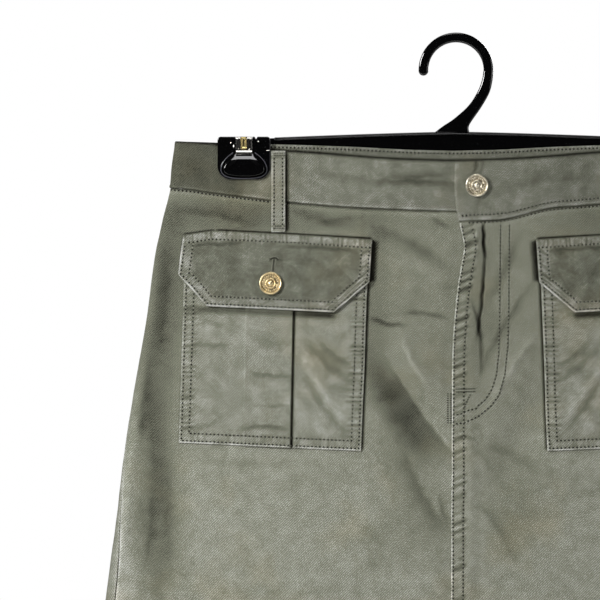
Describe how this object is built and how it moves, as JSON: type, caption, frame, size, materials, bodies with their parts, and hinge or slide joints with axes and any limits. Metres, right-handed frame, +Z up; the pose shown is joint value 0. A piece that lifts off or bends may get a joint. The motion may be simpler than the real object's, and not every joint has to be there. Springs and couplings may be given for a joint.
{
  "type": "cargo utility skirt on a clip hanger",
  "caption": "Sage twill A-line mini skirt with pleated cargo patch pockets, mitred flaps and a lapped front, held by the waist on a black plastic clip hanger.",
  "frame": {"origin": "inside of the hook's top, where a rail carries the hanger", "axes": "+Z up, -Y out of the front of the skirt, +X towards the wearer's left"},
  "size_m": [0.5302, 0.0462, 0.539],
  "materials": {
    "sage_twill": "garment-washed stretch cotton twill, tonal topstitching",
    "pale_brass": "pale polished tack button",
    "gold_brass": "warm polished tack buttons",
    "black_plastic": "glossy injection-moulded polystyrene",
    "spring_steel": "bright plated spring strip"
  },
  "bodies": {
    "root": {"front_right": "sage_twill", "front_left": "sage_twill", "back": "sage_twill", "waistband_front_right": "sage_twill", "waistband_front_left": "sage_twill", "waistband_back": "sage_twill", "belt_loop_front_right": "sage_twill", "belt_loop_front_left": "sage_twill", "belt_loop_back_right": "sage_twill", "belt_loop_back_left": "sage_twill", "belt_loop_back_centre": "sage_twill", "pocket_right": "sage_twill", "pocket_left": "sage_twill", "flap_right": "sage_twill", "flap_left": "sage_twill", "waist_button": "pale_brass", "pocket_button_right": "gold_brass", "pocket_button_left": "gold_brass", "hanger": "black_plastic", "clip_jaw_right": "black_plastic", "clip_jaw_left": "black_plastic", "clip_spring_right": "spring_steel", "clip_spring_left": "spring_steel"}
  },
  "joints": []
}
